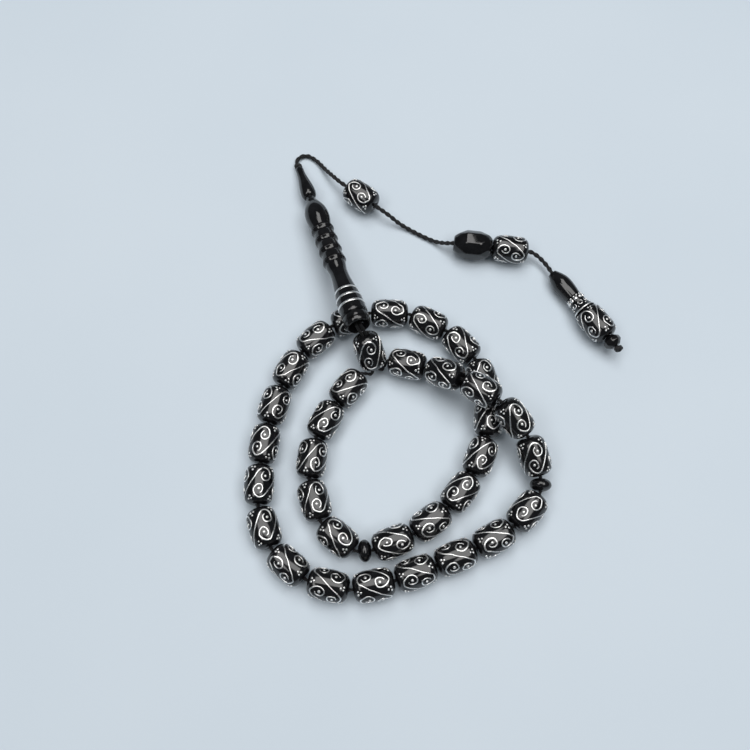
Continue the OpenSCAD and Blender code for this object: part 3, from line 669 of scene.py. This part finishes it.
def on_cap(z, deg):
    r = np.interp(z, cap_line[:, 1], cap_line[:, 0])
    slope = (np.interp(np.asarray(z) + 0.1, cap_line[:, 1], cap_line[:, 0])
             - np.interp(np.asarray(z) - 0.1, cap_line[:, 1], cap_line[:, 0])) / 0.2
    e1, e2 = across(TAIL_DIR)
    t = np.radians(deg)
    radial = np.cos(t)[..., None] * e1 + np.sin(t)[..., None] * e2
    normal = radial - np.asarray(slope)[..., None] * TAIL_DIR
    normal = normal / np.linalg.norm(normal, axis=-1)[..., None]
    return CAP_AT + np.asarray(z)[..., None] * TAIL_DIR + np.asarray(r)[..., None] * radial, normal


cap_silver = []
rng = np.random.default_rng(7)
SMALL_GRAINS, LARGE_GRAINS, LOOPS, LOOP_STEPS = 14, 10, 7, 30
for k in range(SMALL_GRAINS):
    p, n = on_cap(0.36 + rng.normal(0, 0.02), 360 * k / SMALL_GRAINS + rng.normal(0, 1.5))
    cap_silver.append(dome(p, n, 0.56, 0.24, 14))
for k in range(LARGE_GRAINS):
    p, n = on_cap(1.14 + rng.normal(0, 0.03), 360 * (k + 0.5) / LARGE_GRAINS + rng.normal(0, 1.5))
    cap_silver.append(dome(p, n, 1.1, 0.36, 20))
for k in range(LOOPS):
    turn = np.linspace(-2.3, 2.3, LOOP_STEPS)
    z = 2.8 + 0.6 * np.cos(turn)
    deg = 360 * (k + 0.25) / LOOPS + np.degrees(0.72 * np.sin(turn) / 2.7)
    p, n = on_cap(z, deg)
    wire_size = np.column_stack([np.full(LOOP_STEPS, 0.3), np.full(LOOP_STEPS, 0.13)])
    cap_silver.append(sweep(p, n, WIRE_SECTION, wire_size))
    p, n = on_cap(3.7, 360 * (k + 0.75) / LOOPS)
    cap_silver.append(dome(p, n, 0.42, 0.18))
rim = [(0.5 * CAP_D - 0.14 + 0.15 * math.cos(a), CAP_LEN - 0.34 + 0.2 * math.sin(a)) for a in
       np.linspace(0, 2 * math.pi, 13)[:-1]]
cap_silver.append(turned(rim, CAP_AT, TAIL_DIR, 96))
piece("tassel_cap_silver", cap_silver, SILVER, "tassel_cap", "silver", sharp=60)


FACETS = 8


def cut_bead(node, d, length, rows, bevel):
    """A solid bead cut in flat facets, from rings of corners: [place along, share of d, a corner on top]."""
    at, axis = centre_of(node), axis_of(node)
    e1, e2 = across(axis)
    points = []
    for z, share, corner_on_top in rows:
        for k in range(FACETS):
            a = math.radians(360 / FACETS * (k if corner_on_top else k + 0.5))
            points.append(at + axis * z * length + d / 2 * share * (math.cos(a) * e1 + math.sin(a) * e2))
    mesh = bpy.data.meshes.new(node + "_cut")
    mesh.from_pydata([tuple(p * MM) for p in points], [], [])
    bm = bmesh.new()
    bm.from_mesh(mesh)
    bmesh.ops.convex_hull(bm, input=bm.verts)
    bmesh.ops.delete(bm, geom=[v for v in bm.verts if not v.link_faces], context="VERTS")
    bmesh.ops.dissolve_limit(bm, angle_limit=0.02, verts=bm.verts, edges=bm.edges)
    bmesh.ops.bevel(bm, geom=list(bm.edges), offset=bevel * MM, segments=3, profile=0.6, affect="EDGES")
    bm.to_mesh(mesh)
    bm.free()
    place(node + "_cut", mesh, SMOOTH, node, "smooth_black", [node], sharp=24)


cut_bead("faceted_bead", FACETED_D, FACETED_LEN,
         [(-0.5, 0.50, False), (-0.40, 0.72, True), (-0.17, 1.0, False), (0.18, 1.0, False),
          (0.41, 0.80, True), (0.5, 0.60, False)], 0.3)
cut_bead("end_bead", END_D, END_LEN,
         [(-0.5, 0.58, False), (-0.16, 0.98, False), (0.16, 0.98, False), (0.5, 0.56, True)], 0.1)

KNOT_STEPS, KNOT_SIDES, KNOT_TURNS, KNOT_R = 70, 14, 2.1, 0.66


def wrapped_knot(node, at, direction, body):
    """A small barrel knot: the cord wound round itself and drawn tight."""
    e1, e2 = across(direction)
    t = np.linspace(0, 1, KNOT_STEPS)
    turn = 2 * math.pi * KNOT_TURNS * t
    normals = np.cos(turn)[:, None] * e1 + np.sin(turn)[:, None] * e2
    path = at + direction * (0.5 + t)[:, None] + KNOT_R * normals
    size = np.minimum(1, np.minimum(t, 1 - t) * 9 + 0.35)
    ring = [(0.5 * math.cos(a), 0.55 * math.sin(a)) for a in
            np.linspace(0, 2 * math.pi, KNOT_SIDES + 1)[:-1]]
    winding = sweep(path, normals, ring, np.column_stack([size, size]))
    core = [(0.3, 0.05), (0.55, 0.2), (0.7, 0.6), (0.7, 1.4), (0.55, 1.8), (0.3, 1.95)]
    core_part = turned(core, at, direction, 20, closed=False)
    winding_lay = np.column_stack([np.repeat(t * 6, KNOT_SIDES),
                                   np.tile(np.arange(KNOT_SIDES) * 0.3, KNOT_STEPS),
                                   np.zeros(KNOT_STEPS * KNOT_SIDES)])
    piece(node + "_wound", [winding, core_part], CORD, body, "cord", [node],
          lay=np.concatenate([winding_lay, core_part[0]]))


wrapped_knot("tip_knot", TIP, HEAD_DIR, "imame")
wrapped_knot("end_knot", END_KNOT_AT, TAIL_DIR, "whip")

for node in ("imame_cord", "inner_knot"):
    mesh = frame["nodes"][node].data
    mesh.materials.clear()
    mesh.materials.append(CORD)

# ---------------------------------------------------------------- floor and light
# The floor lies just under the lowest silver, which stands proud below the beads; in metres
FLOOR, FLOOR_HALF = -0.0002, 2
floor_mesh = bpy.data.meshes.new("floor")
corners = ((-1, -1), (1, -1), (1, 1), (-1, 1))
floor_mesh.from_pydata([(x * FLOOR_HALF, y * FLOOR_HALF, FLOOR) for x, y in corners], [], [(0, 1, 2, 3)])
floor_mesh.materials.append(floor_material())
add_object("floor", floor_mesh)

SKY_HEIGHT, SKY_BRIGHT = 1.2, 11.6


def sky_part(name, x0, x1, y0, y1):
    """One part of the big soft light overhead; its edges are given as shares of its height."""
    data = bpy.data.lights.new(name, "AREA")
    data.shape = "RECTANGLE"
    data.size, data.size_y = (x1 - x0) * SKY_HEIGHT, (y1 - y0) * SKY_HEIGHT
    data.energy = SKY_BRIGHT * data.size * data.size_y
    data.color = (1.0, 0.995, 0.985)
    light = add_object(name, data)
    light.location = ((x0 + x1) / 2 * SKY_HEIGHT, (y0 + y1) / 2 * SKY_HEIGHT, SKY_HEIGHT)


sky_part("sky_middle", -0.45, 0.72, -0.1, 0.44)
sky_part("sky_far", -0.33, 0.16, 0.44, 0.88)
sky_part("sky_left", -0.82, -0.45, -0.56, 0.12)
sky_part("sky_right", 0.26, 0.76, -0.62, -0.1)

world = bpy.data.worlds.new("studio")
world.use_nodes = True
world.node_tree.nodes["Background"].inputs["Color"].default_value = (0.80, 0.88, 0.96, 1)
world.node_tree.nodes["Background"].inputs["Strength"].default_value = 0.10
bpy.context.scene.world = world
bpy.context.scene.view_settings.view_transform = "Standard"
